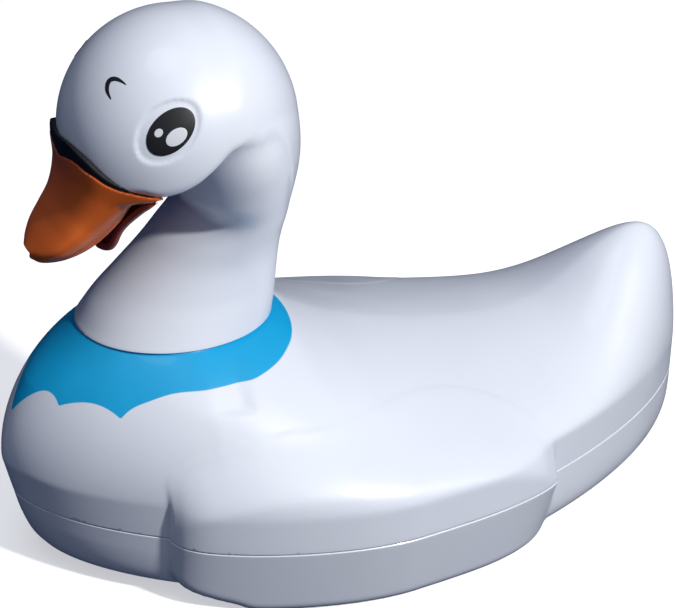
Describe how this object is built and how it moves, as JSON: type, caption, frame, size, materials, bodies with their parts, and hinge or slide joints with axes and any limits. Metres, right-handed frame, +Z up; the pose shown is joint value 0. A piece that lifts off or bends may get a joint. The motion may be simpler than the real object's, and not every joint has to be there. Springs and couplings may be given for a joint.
{
  "type": "floating pool chlorine dispenser",
  "caption": "Swan-shaped pool float with a bayonet tablet canister underneath; a rotary shutter sets how fast the chlorine dissolves.",
  "frame": {"origin": "middle of the overall length and width, on the surface that the two skids rest on", "axes": "+Z up, -Y the way the bill points, +X the swan's left side"},
  "size_m": [0.185, 0.2927, 0.2184],
  "materials": {
    "shell_white": "glossy white moulded plastic, the chest painted blue",
    "bill_orange": "glossy orange paint",
    "face_black": "glossy black paint",
    "housing_grey": "satin grey plastic",
    "canister_blue": "satin blue plastic",
    "seal_rubber": "matte rubber",
    "screw_steel": "stainless steel"
  },
  "bodies": {
    "float": {"upper_shell": "shell_white", "lower_shell": "shell_white", "hull_seal": "seal_rubber", "head_neck": "shell_white", "neck_gasket": "seal_rubber", "neck_clip": "housing_grey", "bill_mask": "face_black", "upper_bill": "bill_orange", "lower_bill": "bill_orange", "eye_left": "face_black", "eye_right": "face_black", "tablet_housing": "housing_grey", "housing_gasket": "seal_rubber", "housing_screw_1": "screw_steel", "housing_screw_2": "screw_steel", "housing_screw_3": "screw_steel", "housing_screw_4": "screw_steel", "housing_screw_5": "screw_steel", "housing_screw_6": "screw_steel"},
    "canister_carrier": {"canister_seal": "seal_rubber"},
    "canister": {"tablet_canister": "canister_blue"},
    "vent_control": {"vent_shutter": "housing_grey", "vent_knob": "canister_blue"}
  },
  "joints": [
    {"name": "canister_pull", "type": "slide", "parent": "float", "child": "canister_carrier", "axis": [0, 0, -1], "range_m": [0, 0.062]},
    {"name": "canister_twist", "type": "hinge", "parent": "canister_carrier", "child": "canister", "pos_m": [0, -0.008, 0.009], "axis": [0, 0, 1], "range_deg": [0, 25]},
    {"name": "vent_turn", "type": "hinge", "parent": "canister", "child": "vent_control", "pos_m": [0, -0.008, 0.008], "axis": [0, 0, 1], "range_deg": [0, 30]}
  ]
}
